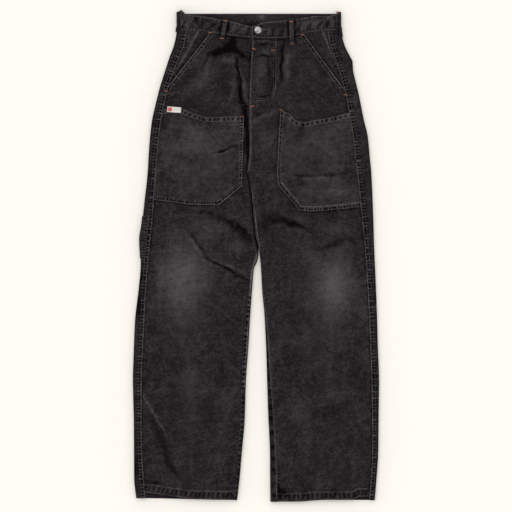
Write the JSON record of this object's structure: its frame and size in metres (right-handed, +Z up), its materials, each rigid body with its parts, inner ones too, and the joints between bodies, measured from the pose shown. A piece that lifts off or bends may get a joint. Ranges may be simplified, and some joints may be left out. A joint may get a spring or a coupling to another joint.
{
  "type": "oversize work trousers laid flat",
  "caption": "Wide straight-leg work trousers in washed black canvas, laid flat front up, with slanted hip pockets, large patch pockets on the thighs, belt loops and a metal button.",
  "frame": {"origin": "centre of the bounding box on the surface that the garment lies on", "axes": "+Y from the hems to the waist, +X towards the wearer's left, +Z up from the surface, front of the garment up"},
  "size_m": [0.5654, 1.13, 0.0138],
  "materials": {
    "canvas": "washed, matt, faded at the knees and along the seams",
    "tab": "woven satin",
    "button": "dull polished"
  },
  "bodies": {
    "root": {"front_right": "canvas", "front_left": "canvas", "back_right": "canvas", "back_left": "canvas", "waistband": "canvas", "pocket_facing_right": "canvas", "pocket_facing_left": "canvas", "thigh_pocket_right": "canvas", "thigh_pocket_left": "canvas", "leg_tool_pocket_right": "canvas", "belt_loop_front_right": "canvas", "belt_loop_front_left": "canvas", "belt_loop_side_right": "canvas", "belt_loop_side_left": "canvas", "side_tab": "tab", "waist_button": "button"}
  },
  "joints": []
}
